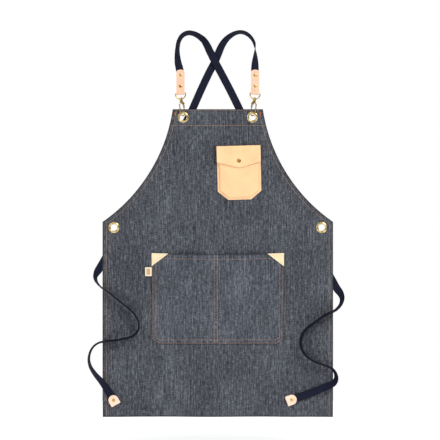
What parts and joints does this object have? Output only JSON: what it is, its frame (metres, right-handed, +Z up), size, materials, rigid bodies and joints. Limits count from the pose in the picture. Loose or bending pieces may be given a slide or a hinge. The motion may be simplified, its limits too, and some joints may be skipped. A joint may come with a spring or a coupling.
{
  "type": "apron",
  "caption": "Denim work apron with crossed clip-on shoulder straps, leather chest pocket, divided lower pocket and waist ties, hung by its straps.",
  "frame": {"origin": "midway between the tops of the two shoulder strap arcs, where a wearer's shoulders or a hanger hold the apron", "axes": "+X to the right as the front is faced, front faces -Y, +Z up along the hanging panel"},
  "size_m": [0.6677, 0.0561, 1.0073],
  "materials": {
    "denim": "heather grey denim twill, matt",
    "navy_webbing": "navy woven webbing, matt",
    "tack_thread": "thread, matt",
    "pocket_leather": "undyed vegetable-tanned leather, smooth",
    "strap_leather": "undyed vegetable-tanned leather, smooth",
    "patch_leather": "pale undyed leather, smooth",
    "tab_leather": "pale undyed leather, smooth",
    "eyelet_brass": "polished brass",
    "hook_brass": "polished brass, darkened in the joints",
    "rivet_brass": "polished brass",
    "snap_brass": "antique brass"
  },
  "bodies": {
    "apron": {"body_panel": "denim", "bib_facing": "denim", "left_armhole_hem": "denim", "right_armhole_hem": "denim", "left_side_hem": "denim", "right_side_hem": "denim", "bottom_hem": "denim", "lower_pocket": "denim", "left_corner_patch": "patch_leather", "right_corner_patch": "patch_leather", "side_label": "patch_leather", "chest_pocket": "pocket_leather", "flap_band": "pocket_leather", "snap_stud": "snap_brass", "left_bib_eyelet": "eyelet_brass", "right_bib_eyelet": "eyelet_brass", "left_waist_eyelet": "eyelet_brass", "right_waist_eyelet": "eyelet_brass", "left_bib_washer": "eyelet_brass", "right_bib_washer": "eyelet_brass", "left_waist_washer": "eyelet_brass", "right_waist_washer": "eyelet_brass", "left_shoulder_strap": "navy_webbing", "right_shoulder_strap": "navy_webbing", "left_strap_tack": "tack_thread", "right_strap_tack": "tack_thread", "left_strap_end": "strap_leather", "right_strap_end": "strap_leather", "left_strap_rivets": "rivet_brass", "right_strap_rivets": "rivet_brass", "left_waist_tie": "navy_webbing", "right_waist_tie": "navy_webbing", "left_tie_tab": "tab_leather", "right_tie_tab": "tab_leather", "left_tab_rivet": "rivet_brass", "right_tab_rivet": "rivet_brass", "left_d_ring": "hook_brass", "right_d_ring": "hook_brass"},
    "flap": {"chest_flap": "pocket_leather", "snap_cap": "snap_brass", "snap_socket": "snap_brass"},
    "left_snap": {"left_hook": "hook_brass", "left_gate_pin": "hook_brass", "left_gate_spring": "hook_brass"},
    "right_snap": {"right_hook": "hook_brass", "right_gate_pin": "hook_brass", "right_gate_spring": "hook_brass"},
    "left_gate": {"left_gate": "hook_brass"},
    "right_gate": {"right_gate": "hook_brass"}
  },
  "joints": [
    {"name": "flap_hinge", "type": "hinge", "parent": "apron", "child": "flap", "pos_m": [0.05352, -0.0106, -0.3018], "axis": [-0.9997, 0, -0.0262], "range_deg": [0, 165]},
    {"name": "left_hook_swivel", "type": "hinge", "parent": "apron", "child": "left_snap", "pos_m": [-0.09547, 0, -0.17982], "axis": [-0.1027, 0, 0.9947], "range_deg": [0, 90]},
    {"name": "right_hook_swivel", "type": "hinge", "parent": "apron", "child": "right_snap", "pos_m": [0.09547, 0, -0.17982], "axis": [-0.1027, 0, -0.9947], "range_deg": [0, 90]},
    {"name": "left_gate_hinge", "type": "hinge", "parent": "left_snap", "child": "left_gate", "pos_m": [-0.09055, 0.00375, -0.19098], "axis": [-0.7034, 0.7071, -0.0726], "range_deg": [0, 22], "stiffness_Nm_per_rad": 0.02, "springref_deg": -17.19},
    {"name": "right_gate_hinge", "type": "hinge", "parent": "right_snap", "child": "right_gate", "pos_m": [0.09055, 0.00375, -0.19098], "axis": [-0.7034, -0.7071, 0.0726], "range_deg": [0, 22], "stiffness_Nm_per_rad": 0.02, "springref_deg": -17.19}
  ]
}
